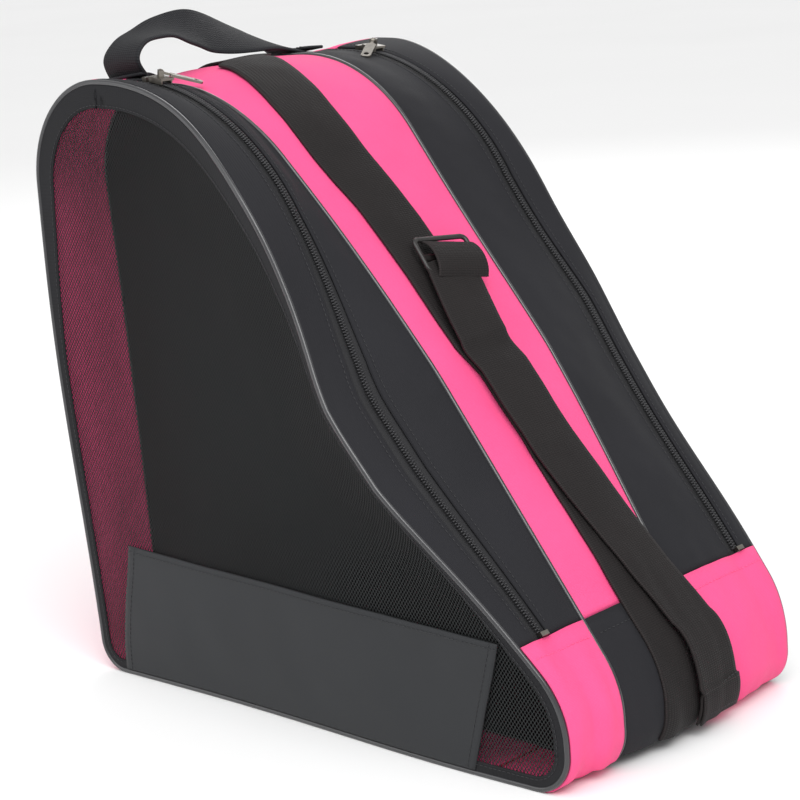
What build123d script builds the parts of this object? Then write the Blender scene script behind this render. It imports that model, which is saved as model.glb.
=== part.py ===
"""Three-compartment skate bag: a triangular bag with a mesh-sided skate pocket on each side.

Units are millimetres. +X points to the toe, +Z up, and -Y is the near side.
The bag stands on its base with the origin under the middle of its box.
Every seam ring follows a side outline of six rounded corners in the XZ plane.
"""

from build123d import *
import os
from math import acos, cos, hypot, radians, sin, tan

os.makedirs("parts", exist_ok=True)

# ---- side outlines: (x, z) of each corner and its radius, clockwise from the rear bottom ----
# The centre pocket has a nearly straight slope. The outer edges dip below it half way down.
CENTRE_OUTLINE = [
    ((-184, 0), 20),
    ((-200, 371), 62),
    ((-63, 371), 115),
    ((75, 212), 300),
    ((198, 50), 55),
    ((199, 0), 24),
]
EDGE_OUTLINE = [
    ((-184, 0), 20),
    ((-203, 379), 62),
    ((-30, 379), 170),
    ((62, 205), 200),
    ((199, 52), 60),
    ((199, 0), 24),
]
TOP_CORNER = 2              # index of the crown's front corner, which the zips run over

# ---- widths across the bag ----
NEAR_SEAM = -59.0           # seam between the near and the centre pocket
FAR_SEAM = 39.0             # seam between the centre and the far pocket
SEAM_GAP = 2.0              # half the gap that a piping cord fills
PIPING_R = 2.0
GUSSET_EDGE = 108.0         # where a side gusset meets its piping, each side
CROWN_Y = 119.0             # how far the side panels stand out
CROWN_CENTRE = (-60.0, 150.0)
CROWN_SHARE = 0.84          # size of the panels' flat middle; the rest is a sloping rim
CLOTH = 1.6                 # cloth with its lining
MESH = 1.5
OVERLAY = 1.3
LEAST_R = 4.0               # tightest corner of any outline

# ---- zips ----
ZIP_BLEND = 0.7             # how far the zip lies from the centre outline (0) to the edge one (1)
TAPE_Y = (86.0, 96.0)       # exposed zip tape, each side
ZIP_Y = 91.0
CHAIN_W = 5.0
CHAIN_H = 2.2
ZIP_TOP_X = -112.0          # where the side zips start on the crown
SLIDER_X = -103.0           # slider when the zip is closed
REAR_ZIP_Y = -10.0
REAR_ZIP_Z = (40.0, 300.0)
REAR_SLIDER_Z = 289.0
SLIDER_L = 13.0
PIN_HEIGHT = 6.8
PIN_R = 0.8
PULL_L = 26.0
PULL_W = 6.5
PULL_T = 1.5
PULL_YAW = 58.0             # side pulls hang towards the middle of the bag
PULL_DROP = 14.0

# ---- where the cloth panels end ----
FRONT_X = -140.0            # black front gusset starts here on the crown
TOE_SEAM = (172.0, 82.0)    # toe patch seam, on the slope
SLOPE = (0.667, -0.745)     # direction down the slope at the toe
BASE_X = (-164.0, 130.0)
BOARD_T = 2.0

# ---- shoulder strap, adjuster and handle ----
WEBBING = 38.0
WEBBING_T = 1.4
# the strap's middle in plan: straight over the rear, to the near side on the crown, far at the toe
STRAP_ROUTE = [(-215, 5), (-125, 5), (-65, -30), (-30, -35), (10, -20), (110, -15), (155, 0),
               (212, 25)]
STRAP_LIFT = 1.2            # long webbing stands this far off the gusset
RETURN_LIFT = 3.4
STRAP_END_Z = 4.0
STRAP_REAR_Z = 318.0
ADJUSTER_X = 38.0
ADJUSTER = (30.0, 50.0, 3.5)
ADJUSTER_LIFT = 3.1
HANDLE_X = -146.0
HANDLE_ROUTE = [(-76, 380.6), (-80, 414), (-20, 421), (30, 407), (62, 380.6)]
HANDLE_RADII = [14, 40, 40]
HANDLE_T = 2.4
HANDLE_BEND_Z = 403.0       # webbing bends below this height when the handle is folded down

FAR_AWAY = 450.0


# ---------------------------------------------------------------- outline helpers
def blended(share):
    """Outline corners between the centre outline (0) and the edge outline (1)."""
    corners = []
    for (inner, inner_r), (edge, edge_r) in zip(CENTRE_OUTLINE, EDGE_OUTLINE):
        x = inner[0] + share * (edge[0] - inner[0])
        z = inner[1] + share * (edge[1] - inner[1])
        corners.append(((x, z), inner_r + share * (edge_r - inner_r)))
    return corners


def unit(a, b):
    length = hypot(b[0] - a[0], b[1] - a[1])
    return (b[0] - a[0]) / length, (b[1] - a[1]) / length


def inset(corners, depth):
    """Move every side of a clockwise outline inwards by depth."""
    moved = []
    for i, (point, radius) in enumerate(corners):
        before = unit(corners[i - 1][0], point)
        after = unit(point, corners[(i + 1) % len(corners)][0])
        turn = before[0] * after[1] - before[1] * after[0]
        facing = before[0] * after[0] + before[1] * after[1]
        normal = (before[1] + after[1], -before[0] - after[0])
        scale = depth / (1 + facing)
        new_point = (point[0] + normal[0] * scale, point[1] + normal[1] * scale)
        new_radius = max(radius - depth, LEAST_R) if turn < 0 else radius + depth
        moved.append((new_point, new_radius))
    return moved


def across(y):
    """Side-view plane at a distance across the bag."""
    return Plane.XZ.offset(-y)


def draw(corners):
    """Add a closed outline with rounded corners to the sketch that is open."""
    with BuildLine() as line:
        FilletPolyline(*[c[0] for c in corners], radius=[c[1] for c in corners], close=True)
    make_face(line.line.edges())


def outline(share, depth):
    """Add a side outline, moved inwards by depth, to the sketch that is open."""
    draw(inset(blended(share), depth))


def crown_outline(depth):
    """Add the outline of a side panel's flat middle, moved inwards by depth."""
    cx, cz = CROWN_CENTRE
    draw(inset([((cx + CROWN_SHARE * (x - cx), cz + CROWN_SHARE * (z - cz)), CROWN_SHARE * r)
                for (x, z), r in EDGE_OUTLINE], depth))


def top_arc(share):
    """Centre and radius of the crown's front arc, which the side zips run over."""
    corners = blended(share)
    point, radius = corners[TOP_CORNER]
    before = unit(corners[TOP_CORNER - 1][0], point)
    after = unit(point, corners[TOP_CORNER + 1][0])
    turn = acos(before[0] * after[0] + before[1] * after[1])
    reach = radius * tan(turn / 2)
    centre = (point[0] - before[0] * reach + before[1] * radius,
              point[1] - before[1] * reach - before[0] * radius)
    return centre, radius


def along_slope(first, last):
    """A region across the slope, between two distances down it from the toe seam."""
    (px, pz), (ux, uz) = TOE_SEAM, SLOPE
    reach_in, reach_out = 60, 40
    corners = []
    for distance, reach in ((first, -reach_in), (first, reach_out),
                            (last, reach_out), (last, -reach_in)):
        corners.append((px + ux * distance - uz * reach, pz + uz * distance + ux * reach))
    return corners


def seam_point(reach):
    """A point on the line of the toe seam, reach mm out from the slope."""
    return TOE_SEAM[0] - SLOPE[1] * reach, TOE_SEAM[1] + SLOPE[0] * reach


SEAM_IN = seam_point((BASE_X[1] - TOE_SEAM[0]) / -SLOPE[1])
SEAM_OUT = seam_point(FAR_AWAY)
REGIONS = {
    "rear": [(-260, -50), (BASE_X[0], -50), (BASE_X[0], 100), (FRONT_X, 150),
             (FRONT_X, FAR_AWAY), (-260, FAR_AWAY)],
    "base": [(BASE_X[0], -50), (BASE_X[1], -50), (BASE_X[1], 30), (BASE_X[0], 30)],
    "toe": [(BASE_X[1], -50), (FAR_AWAY, -50), SEAM_OUT, SEAM_IN],
    "front": [(FRONT_X, 150), (FRONT_X, FAR_AWAY), (FAR_AWAY, FAR_AWAY), SEAM_OUT, SEAM_IN],
}
_zip_start = along_slope(-3.4, 0)
REGIONS["zip"] = [(ZIP_TOP_X, 150), (ZIP_TOP_X, FAR_AWAY), (FAR_AWAY, FAR_AWAY),
                  (SEAM_OUT[0] - 3.4 * SLOPE[0], SEAM_OUT[1] - 3.4 * SLOPE[1]), _zip_start[0]]


def cut_to_region(region):
    """Keep only what lies inside a side-view region, across the whole width."""
    with BuildSketch(across(FAR_AWAY)) as shape:
        with BuildLine():
            Polyline(*region, close=True)
        make_face()
    extrude(shape.sketch, amount=2 * FAR_AWAY, mode=Mode.INTERSECT)


def finish(name, part):
    part.label = name
    export_step(part, f"parts/{name}.step")


def gusset(name, start, end, region, outer=0.0, inner=CLOTH):
    """A strip of cloth round the bag between two (y, share) outlines, cut to one region."""
    with BuildPart() as strip:
        for depth, mode in ((outer, Mode.ADD), (inner, Mode.SUBTRACT)):
            for y, share in (start, end):
                with BuildSketch(across(y)):
                    outline(share, depth)
            loft(ruled=True, mode=mode)
        cut_to_region(region)
    finish(name, strip.part)
    return strip.part


# ---------------------------------------------------------------- side pockets
def piping(name, y, share):
    """A round cord sewn all the way round one seam."""
    corners = inset(blended(share), PIPING_R)
    with BuildPart() as cord:
        with BuildLine(across(y)):
            path = FilletPolyline(*[c[0] for c in corners], radius=[c[1] for c in corners],
                                  close=True)
        with BuildSketch(Plane(origin=path @ 0, z_dir=path % 0)):
            Circle(PIPING_R)
        sweep(path=path)
    finish(name, cord.part)


def crowned_sheet(name, side, low, high, region=None):
    """A panel over the whole side that rises from its edge to a flat middle.

    low and high are the heights of its two faces over the mesh panel's outer face.
    """
    with BuildPart() as sheet:
        for level, mode in ((high, Mode.ADD), (low, Mode.SUBTRACT)):
            with BuildSketch(across(side * (GUSSET_EDGE + 0.4))):
                outline(1, 2 * PIPING_R + 0.4 - level)
            with BuildSketch(across(side * (CROWN_Y + level))):
                crown_outline(-level)
            loft(ruled=True, mode=mode)
        if region:
            cut_to_region(region)
    finish(name, sheet.part)


LOWER_PANEL = [(-174, -50), (-142, 90), (158, 82), (116, -50)]


def side_pocket(name, side, seam):
    """One outer pocket: gusset strips, base, toe, rear, mesh side and pipings."""
    near_seam = (side * (abs(seam) + SEAM_GAP), 0)
    zip_in = (side * TAPE_Y[0], ZIP_BLEND)
    zip_out = (side * TAPE_Y[1], ZIP_BLEND)
    edge = (side * GUSSET_EDGE, 1)
    gusset(f"{name}_front_gusset", near_seam, zip_in, REGIONS["front"])
    gusset(f"{name}_zip_facing", zip_out, edge, REGIONS["front"])
    gusset(f"{name}_zip_tape", zip_in, zip_out, REGIONS["front"], outer=0.3, inner=1.3)
    gusset(f"{name}_rear_gusset", near_seam, edge, REGIONS["rear"])
    gusset(f"{name}_base_panel", near_seam, edge, REGIONS["base"])
    gusset(f"{name}_toe_panel", near_seam, edge, REGIONS["toe"])
    chain_in = (side * (ZIP_Y - CHAIN_W / 2), ZIP_BLEND)
    chain_out = (side * (ZIP_Y + CHAIN_W / 2), ZIP_BLEND)
    gusset(f"{name}_zip_chain", chain_in, chain_out, REGIONS["zip"],
           outer=-CHAIN_H, inner=0.3)
    piping(f"{name}_edge_piping", side * (GUSSET_EDGE + PIPING_R + 0.2), 1)
    piping(f"{name}_seam_piping", seam, 0)
    crowned_sheet(f"{name}_mesh_panel", side, -MESH, 0.0)
    crowned_sheet(f"{name}_lower_panel", side, 0.0, OVERLAY, LOWER_PANEL)


def zip_stops(name, side):
    """The metal stops at the two ends of a side zip."""
    top = [(ZIP_TOP_X - 4, 300), (ZIP_TOP_X - 4, 420), (ZIP_TOP_X - 0.4, 420),
           (ZIP_TOP_X - 0.4, 300)]
    with BuildPart() as stops:
        for depth, mode in ((-CHAIN_H - 0.4, Mode.ADD), (0.3, Mode.SUBTRACT)):
            for y in (ZIP_Y - CHAIN_W / 2 - 0.5, ZIP_Y + CHAIN_W / 2 + 0.5):
                with BuildSketch(across(side * y)):
                    outline(ZIP_BLEND, depth)
            loft(ruled=True, mode=mode)
        with BuildSketch(across(FAR_AWAY)):
            for region in (top, along_slope(-3.0, -0.4)):
                with BuildLine():
                    Polyline(*region, close=True)
                make_face()
        extrude(amount=2 * FAR_AWAY, mode=Mode.INTERSECT)
    finish(name, stops.part)


side_pocket("near", -1, NEAR_SEAM)
side_pocket("far", 1, FAR_SEAM)
zip_stops("near_zip_stops", -1)
zip_stops("far_zip_stops", 1)


# ---------------------------------------------------------------- centre pocket and linings
CENTRE = ((NEAR_SEAM + SEAM_GAP, 0), (FAR_SEAM - SEAM_GAP, 0))
gusset("centre_front_gusset", *CENTRE, REGIONS["front"])
gusset("centre_toe_panel", *CENTRE, REGIONS["toe"])
gusset("centre_base_panel", *CENTRE, REGIONS["base"])


def divider(name, seam):
    """The cloth wall between two pockets."""
    with BuildPart() as wall:
        with BuildSketch(across(seam)):
            outline(0, 2 * PIPING_R + 0.4)
        extrude(amount=CLOTH / 2, both=True)
    finish(name, wall.part)


divider("near_divider", NEAR_SEAM)
divider("far_divider", FAR_SEAM)

SLOT_HALF = 5.0
rear_bottom = CENTRE_OUTLINE[0][0]
rear_top = CENTRE_OUTLINE[1][0]
rear_up = unit(rear_bottom, rear_top)


def rear_point(z):
    """The point of the rear wall at a height, in side view."""
    return rear_bottom[0] + rear_up[0] * z / rear_up[1], z


SLOT = (rear_point((REAR_ZIP_Z[0] + REAR_ZIP_Z[1]) / 2)[0], REAR_ZIP_Y,
        (REAR_ZIP_Z[0] + REAR_ZIP_Z[1]) / 2)
SLOT_SIZE = (60, 2 * SLOT_HALF, REAR_ZIP_Z[1] - REAR_ZIP_Z[0] + 12)


def rear_panel(name, outer, inner, slot_mode):
    """The rear cloth of the centre pocket, with the zip slot cut out or kept alone."""
    with BuildPart() as panel:
        for depth, mode in ((outer, Mode.ADD), (inner, Mode.SUBTRACT)):
            for y, share in CENTRE:
                with BuildSketch(across(y)):
                    outline(share, depth)
            loft(ruled=True, mode=mode)
        cut_to_region(REGIONS["rear"])
        with Locations(SLOT):
            Box(*SLOT_SIZE, mode=slot_mode)
    finish(name, panel.part)


rear_panel("centre_rear_gusset", 0.0, CLOTH, Mode.SUBTRACT)
rear_panel("centre_zip_tape", 0.3, 1.3, Mode.INTERSECT)


def rear_plane(z, lift=0.0):
    """Plane on the rear wall: x down the wall, z out of it."""
    x, height = rear_point(z)
    out = (-rear_up[1], rear_up[0])
    return Plane(origin=(x + out[0] * lift, REAR_ZIP_Y, height + out[1] * lift),
                 x_dir=(-rear_up[0], 0, -rear_up[1]), z_dir=(out[0], 0, out[1]))


chain_length = REAR_ZIP_Z[1] - REAR_ZIP_Z[0]
with BuildPart() as centre_zip_chain:
    with BuildSketch(rear_plane(SLOT[2], -0.3)):
        Rectangle(chain_length, CHAIN_W)
    extrude(amount=CHAIN_H + 0.3)
finish("centre_zip_chain", centre_zip_chain.part)

with BuildPart() as centre_zip_stops:
    with BuildSketch(rear_plane(SLOT[2], -0.3)):
        with Locations((chain_length / 2 + 2, 0), (-chain_length / 2 - 2, 0)):
            Rectangle(3.2, CHAIN_W + 1)
    extrude(amount=CHAIN_H + 0.7)
finish("centre_zip_stops", centre_zip_stops.part)


def base_board(name, low_y, high_y):
    """Stiffening board that lies on the base cloth inside a pocket."""
    with BuildPart() as board:
        with BuildSketch(Plane.XY.offset(CLOTH + 0.2)):
            with Locations(((BASE_X[0] + BASE_X[1]) / 2 + 8, (low_y + high_y) / 2)):
                RectangleRounded(BASE_X[1] - BASE_X[0] + 4, high_y - low_y, 8)
        extrude(amount=BOARD_T)
    finish(name, board.part)


base_board("near_base_board", -GUSSET_EDGE + 4, NEAR_SEAM - 4)
base_board("centre_base_board", NEAR_SEAM + 4, FAR_SEAM - 4)
base_board("far_base_board", FAR_SEAM + 4, GUSSET_EDGE - 4)


# ---------------------------------------------------------------- zip sliders and pulls
def turned(plane, yaw, drop=0.0, lift=0.0):
    """The plane turned in itself by yaw, then tipped down by drop, lift above its origin."""
    forward = plane.x_dir * cos(radians(yaw)) + plane.y_dir * sin(radians(yaw))
    x_dir = forward * cos(radians(drop)) - plane.z_dir * sin(radians(drop))
    z_dir = plane.z_dir * cos(radians(drop)) + forward * sin(radians(drop))
    return Plane(plane.origin + plane.z_dir * lift, x_dir=x_dir, z_dir=z_dir)


def zip_slider(name, plane, yaw):
    """Slider over the chain: top plate, two side flanges, two lugs and the pull's pin."""
    plate_z = CHAIN_H + 0.5
    lug_plane = turned(plane, yaw)
    with BuildPart() as slider:
        with BuildSketch(plane.offset(plate_z)):
            Trapezoid(SLIDER_L, 9.4, 96, rotation=0)
        extrude(amount=1.4)
        with BuildSketch(plane.offset(0.5)):
            with Locations((0, CHAIN_W / 2 + 1.3), (0, -CHAIN_W / 2 - 1.3)):
                Rectangle(SLIDER_L - 2, 1.1)
        extrude(amount=plate_z - 0.5)
        with BuildSketch(lug_plane.offset(plate_z + 1.4)):
            with Locations((0, 1.9), (0, -1.9)):
                Rectangle(3.2, 1.0)
        extrude(amount=PIN_HEIGHT + 1.3 - plate_z - 1.4)
        with BuildSketch(Plane(plane.origin + plane.z_dir * PIN_HEIGHT,
                               x_dir=lug_plane.x_dir, z_dir=lug_plane.y_dir)):
            Circle(PIN_R)
        extrude(amount=2.0, both=True)
    finish(name, slider.part)


def zip_pull(name, plane, yaw, drop):
    """Flat tab with an eye round the slider's pin and a hole near its end."""
    pin = turned(plane, yaw, drop, PIN_HEIGHT)
    side = Plane(pin.origin, x_dir=pin.x_dir, z_dir=pin.y_dir)
    with BuildPart() as pull:
        with BuildSketch(side):
            Circle(PIN_R + 1.1)
            with Locations((3, 0)):
                Rectangle(6, PULL_T)
            Circle(PIN_R + 0.3, mode=Mode.SUBTRACT)
        extrude(amount=1.0, both=True)
        with BuildSketch(pin.offset(-PULL_T / 2)):
            with Locations((5.5 + (PULL_L - 5.5) / 2, 0)):
                RectangleRounded(PULL_L - 5.5, PULL_W, 2.4)
            with Locations((PULL_L - 4, 0)):
                Circle(1.7, mode=Mode.SUBTRACT)
        extrude(amount=PULL_T)
    finish(name, pull.part)


arc_centre, arc_radius = top_arc(ZIP_BLEND)
slider_sine = (SLIDER_X - arc_centre[0]) / arc_radius
slider_cosine = (1 - slider_sine ** 2) ** 0.5


def crown_plane(side):
    """Plane at a side zip's closed slider: x down the zip, z out of the cloth."""
    return Plane(origin=(arc_centre[0] + arc_radius * slider_sine, side * ZIP_Y,
                         arc_centre[1] + arc_radius * slider_cosine),
                 x_dir=(slider_cosine, 0, -slider_sine),
                 z_dir=(slider_sine, 0, slider_cosine))


for name, side in (("near", -1), ("far", 1)):
    yaw = -side * PULL_YAW
    zip_slider(f"{name}_zip_slider", crown_plane(side), yaw)
    zip_pull(f"{name}_zip_pull", crown_plane(side), yaw, PULL_DROP)
zip_slider("centre_zip_slider", rear_plane(REAR_SLIDER_Z), 0)
zip_pull("centre_zip_pull", rear_plane(REAR_SLIDER_Z), 0, 0)


# ---------------------------------------------------------------- shoulder strap
STRAP_REGION = [(-260, STRAP_REAR_Z), (-100, STRAP_REAR_Z), (130, 30), (160, STRAP_END_Z),
                (260, STRAP_END_Z), (260, FAR_AWAY), (-260, FAR_AWAY)]
RETURN_REGION = [(60, 150), (60 + 200 * -SLOPE[1], 150 + 200 * SLOPE[0] + 60),
                 (300, 283), (300, STRAP_END_Z), (160, STRAP_END_Z), (130, 30)]


def strap_layer(name, lift, region, half_width):
    """One layer of webbing that follows the centre outline and the strap's route in plan."""
    left = [(x, y + half_width) for x, y in STRAP_ROUTE]
    right = [(x, y - half_width) for x, y in reversed(STRAP_ROUTE)]
    with BuildPart() as layer:
        for depth, mode in ((-lift - WEBBING_T, Mode.ADD), (-lift, Mode.SUBTRACT)):
            with BuildSketch(across(-80)):
                outline(0, depth)
            extrude(amount=-160, mode=mode)
        cut_to_region(region)
        with BuildSketch(Plane.XY):
            with BuildLine():
                Polyline(*left, *right, close=True)
            make_face()
        extrude(amount=FAR_AWAY, mode=Mode.INTERSECT)
    finish(name, layer.part)


strap_layer("shoulder_strap", STRAP_LIFT, STRAP_REGION, WEBBING / 2)
strap_layer("shoulder_strap_return", RETURN_LIFT, RETURN_REGION, WEBBING / 2)
strap_layer("strap_front_anchor", RETURN_LIFT + WEBBING_T + 0.3,
            [(150, 8), (260, 8), (260, 26), (150, 26)], WEBBING / 2 - 2)
strap_layer("strap_rear_anchor", STRAP_LIFT + WEBBING_T + 0.3,
            [(-260, STRAP_REAR_Z + 2), (-150, STRAP_REAR_Z + 2), (-150, 345), (-260, 345)],
            WEBBING / 2 - 1)

slope_start, slope_end = CENTRE_OUTLINE[2][0], CENTRE_OUTLINE[3][0]
slope_down = unit(slope_start, slope_end)
adjuster_z = slope_start[1] + (ADJUSTER_X - slope_start[0]) * slope_down[1] / slope_down[0]
adjuster_plane = Plane(origin=(ADJUSTER_X, -4, adjuster_z), x_dir=(slope_down[0], 0, slope_down[1]),
                       z_dir=(-slope_down[1], 0, slope_down[0]))
with BuildPart() as strap_adjuster:
    with BuildSketch(adjuster_plane.offset(ADJUSTER_LIFT)):
        RectangleRounded(ADJUSTER[0], ADJUSTER[1], 4)
        with Locations((-7, 0), (7, 0)):
            RectangleRounded(8, WEBBING + 2, 1.5, mode=Mode.SUBTRACT)
    extrude(amount=ADJUSTER[2])
finish("strap_adjuster", strap_adjuster.part)

with BuildPart() as strap_bar_loop:
    with BuildSketch(adjuster_plane.offset(ADJUSTER_LIFT + ADJUSTER[2] + 0.3)):
        with Locations((8, 0)):
            Rectangle(28, WEBBING)
    extrude(amount=WEBBING_T)
finish("strap_bar_loop", strap_bar_loop.part)


# ---------------------------------------------------------------- carry handle
def handle_band(name, keep_low, keep_high, low_y, high_y):
    """Part of the handle's webbing arch, cut to a height and a width range."""
    with BuildPart() as band:
        with BuildSketch(Plane.YZ.offset(HANDLE_X - WEBBING / 2)):
            with BuildLine():
                FilletPolyline(*HANDLE_ROUTE, radius=HANDLE_RADII)
            trace(line_width=HANDLE_T)
        extrude(amount=WEBBING)
        with Locations((HANDLE_X, (low_y + high_y) / 2, (keep_low + keep_high) / 2)):
            Box(80, high_y - low_y, keep_high - keep_low, mode=Mode.INTERSECT)
    finish(name, band.part)


handle_band("carry_handle", HANDLE_BEND_Z, FAR_AWAY, -200, 200)
handle_band("handle_near_leg", 300, HANDLE_BEND_Z, -200, -20)
handle_band("handle_far_leg", 300, HANDLE_BEND_Z, -20, 200)

HANDLE_PATCH = [(HANDLE_X - WEBBING / 2, 300), (HANDLE_X - WEBBING / 2, FAR_AWAY),
                (HANDLE_X + WEBBING / 2, FAR_AWAY), (HANDLE_X + WEBBING / 2, 300)]


def zip_share(y, seam):
    """How far the crown's outline has blended at a distance across a side gusset."""
    return ZIP_BLEND * (abs(y) - abs(seam) - SEAM_GAP) / (TAPE_Y[0] - abs(seam) - SEAM_GAP)


for name, seam, low_y, high_y in (("handle_near_end", NEAR_SEAM, -84, -66),
                                  ("handle_far_end", FAR_SEAM, 52, 72)):
    gusset(name, (low_y, zip_share(low_y, seam)), (high_y, zip_share(high_y, seam)),
           HANDLE_PATCH, outer=-2.4, inner=-0.4)

print("zip arc: centre", arc_centre, "radius", arc_radius)
print("adjuster plane:", adjuster_plane.origin, "slide direction", slope_down)
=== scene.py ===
"""Looks of a three-pocket skate bag, built round its CAD frame.

Working lengths are millimetres in the frame's axes (+X toe, +Y far side, +Z up) and become
metres when a mesh is made. Cloth runs between side outlines of six rounded corners.
"""
import math

import bpy
import numpy as np
from mathutils import Matrix, Vector, noise


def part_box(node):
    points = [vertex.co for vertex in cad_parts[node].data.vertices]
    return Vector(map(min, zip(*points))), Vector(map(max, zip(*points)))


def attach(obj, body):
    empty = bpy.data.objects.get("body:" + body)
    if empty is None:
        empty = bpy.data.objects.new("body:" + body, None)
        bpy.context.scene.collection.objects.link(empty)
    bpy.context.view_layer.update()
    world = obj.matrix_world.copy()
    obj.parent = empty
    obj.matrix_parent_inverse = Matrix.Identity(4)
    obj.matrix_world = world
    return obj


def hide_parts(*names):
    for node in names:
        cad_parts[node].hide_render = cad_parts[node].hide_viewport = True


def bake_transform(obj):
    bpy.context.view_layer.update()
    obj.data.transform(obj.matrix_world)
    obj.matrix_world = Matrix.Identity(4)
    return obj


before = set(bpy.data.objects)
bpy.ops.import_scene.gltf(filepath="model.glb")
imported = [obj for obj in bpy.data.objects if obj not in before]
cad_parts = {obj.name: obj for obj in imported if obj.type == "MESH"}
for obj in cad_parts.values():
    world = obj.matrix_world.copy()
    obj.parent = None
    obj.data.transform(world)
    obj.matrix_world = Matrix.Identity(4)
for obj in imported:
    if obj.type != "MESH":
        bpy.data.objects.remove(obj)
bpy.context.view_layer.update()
MM = 0.001

# ---------------------------------------------------------------- driving dimensions
CENTRE_OUTLINE = [((-184, 0), 20), ((-200, 371), 62), ((-63, 371), 115),
                  ((75, 212), 300), ((198, 50), 55), ((199, 0), 24)]
EDGE_OUTLINE = [((-184, 0), 20), ((-203, 379), 62), ((-30, 379), 170),
                ((62, 205), 200), ((199, 52), 60), ((199, 0), 24)]
ARC_STEPS = 36
LINE_STEPS = 48
CORNER_STEPS = ARC_STEPS + LINE_STEPS
RING = 6 * CORNER_STEPS

SEAMS = {"near": -59.0, "far": 39.0}
SIDES = {"near": -1, "far": 1}
SEAM_GAP = 0.4
PIPING_R = 1.55
EDGE_Y = 108.2
PANEL_Y = {"near": 114.0, "far": 114.0}
PANEL_MIDDLE = np.array([-60.0, 150.0])
ZIP_SHARE = 0.7
TAPE = (86.0, 96.0)
ZIP_Y = 91.0
CLOTH = 1.2

FRONT_X = -140.0
BASE_X = (-164.0, 130.0)
TOE_SEAM = np.array([172.0, 82.0])
SLOPE = np.array([0.667, -0.745])
ZIP_TOP_X = -112.0
WEBBING = 38.0


# ---------------------------------------------------------------- side outlines
def unit(v):
    return v / np.linalg.norm(v)


def rounded(corners):
    """Closed polyline round a clockwise outline: an arc and a line for each corner."""
    tangents = []
    for i, (point, radius) in enumerate(corners):
        point = np.array(point, float)
        before = unit(point - np.array(corners[i - 1][0], float))
        after = unit(np.array(corners[(i + 1) % len(corners)][0], float) - point)
        turn = math.acos(float(before @ after))
        way = np.sign(before[0] * after[1] - before[1] * after[0])
        reach = radius * math.tan(turn / 2)
        first = point - before * reach
        centre = first + way * radius * np.array([-before[1], before[0]])
        tangents.append((first, point + after * reach, centre, way * turn))
    points = []
    for i, (first, last, centre, turn) in enumerate(tangents):
        for k in range(ARC_STEPS):
            a = turn * k / ARC_STEPS
            v = first - centre
            points.append(centre + np.array([v[0] * math.cos(a) - v[1] * math.sin(a),
                                             v[0] * math.sin(a) + v[1] * math.cos(a)]))
        target = tangents[(i + 1) % len(tangents)][0]
        for k in range(LINE_STEPS):
            points.append(last + (target - last) * k / LINE_STEPS)
    return np.array(points)


CENTRE_RING = rounded(CENTRE_OUTLINE)
EDGE_RING = rounded(EDGE_OUTLINE)


def sample(ring, index):
    """Points of a closed ring at fractional indices."""
    index = np.asarray(index, float) % RING
    low = np.floor(index).astype(int)
    part = (index - low)[..., None]
    return ring[low % RING] * (1 - part) + ring[(low + 1) % RING] * part


def outline_at(share, index):
    """Point and outward normal of the outline a share of the way from centre to edge."""
    share = np.asarray(share, float)[..., None]
    ring_a, ring_b = sample(CENTRE_RING, index), sample(EDGE_RING, index)
    ahead = sample(CENTRE_RING, index + 1.5) * (1 - share) + sample(EDGE_RING, index + 1.5) * share
    behind = sample(CENTRE_RING, index - 1.5) * (1 - share) + sample(EDGE_RING, index - 1.5) * share
    tangent = ahead - behind
    tangent /= np.linalg.norm(tangent, axis=-1, keepdims=True)
    normal = np.stack([-tangent[..., 1], tangent[..., 0]], -1)
    return ring_a * (1 - share) + ring_b * share, normal


def crossing(share, value, first, last):
    """Index between first and last at which value(point) changes sign on an outline."""
    index = np.linspace(first, last, 600)
    found = value(outline_at(np.full(600, share), index)[0])
    at = np.nonzero(np.sign(found[:-1]) != np.sign(found[1:]))[0][0]
    part = found[at] / (found[at] - found[at + 1])
    return index[at] + part * (index[1] - index[0])


def toe_distance(p):
    return (p - TOE_SEAM) @ SLOPE


BORDERS = {
    "rear_low": (lambda p: p[:, 0] - BASE_X[0], 5.4 * CORNER_STEPS, RING, -RING),
    "crown": (lambda p: p[:, 0] - FRONT_X, 1.1 * CORNER_STEPS, 2.5 * CORNER_STEPS, 0),
    "zip_top": (lambda p: p[:, 0] - ZIP_TOP_X, 1.2 * CORNER_STEPS, 2.6 * CORNER_STEPS, 0),
    "toe": (toe_distance, 3.1 * CORNER_STEPS, 5 * CORNER_STEPS, 0),
    "base_front": (lambda p: p[:, 0] - BASE_X[1], 5.4 * CORNER_STEPS, RING, 0),
    "base_rear": (lambda p: p[:, 0] - BASE_X[0], 5.4 * CORNER_STEPS, RING, 0),
}
REGIONS = {"rear": ("rear_low", "crown"), "front": ("crown", "toe"), "zip": ("zip_top", "toe"),
           "toe": ("toe", "base_front"), "base": ("base_front", "base_rear")}


REGION_ROWS = {"rear": 200, "front": 190, "toe": 70, "base": 60, "zip": 190}


def border(name, share):
    value, first, last, shift = BORDERS[name]
    return crossing(share, value, first, last) + shift


BORDER_SHARES = np.linspace(0, 1, 9)
BORDER_AT = {name: [border(name, s) for s in BORDER_SHARES] for name in BORDERS}


def region_index(region, share, v):
    """Index on the outline at fraction v of a region, for a share of the blend."""
    first, last = REGIONS[region]
    low = np.interp(share, BORDER_SHARES, BORDER_AT[first])
    high = np.interp(share, BORDER_SHARES, BORDER_AT[last])
    return low + (high - low) * v


def smooth(x, low, high):
    t = np.clip((np.asarray(x, float) - low) / (high - low), 0, 1)
    return t * t * (3 - 2 * t)


def bump(p, x, z, width):
    return np.exp(-((p[..., 0] - x) ** 2 + (p[..., 1] - z) ** 2) / (2 * width ** 2))


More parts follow.
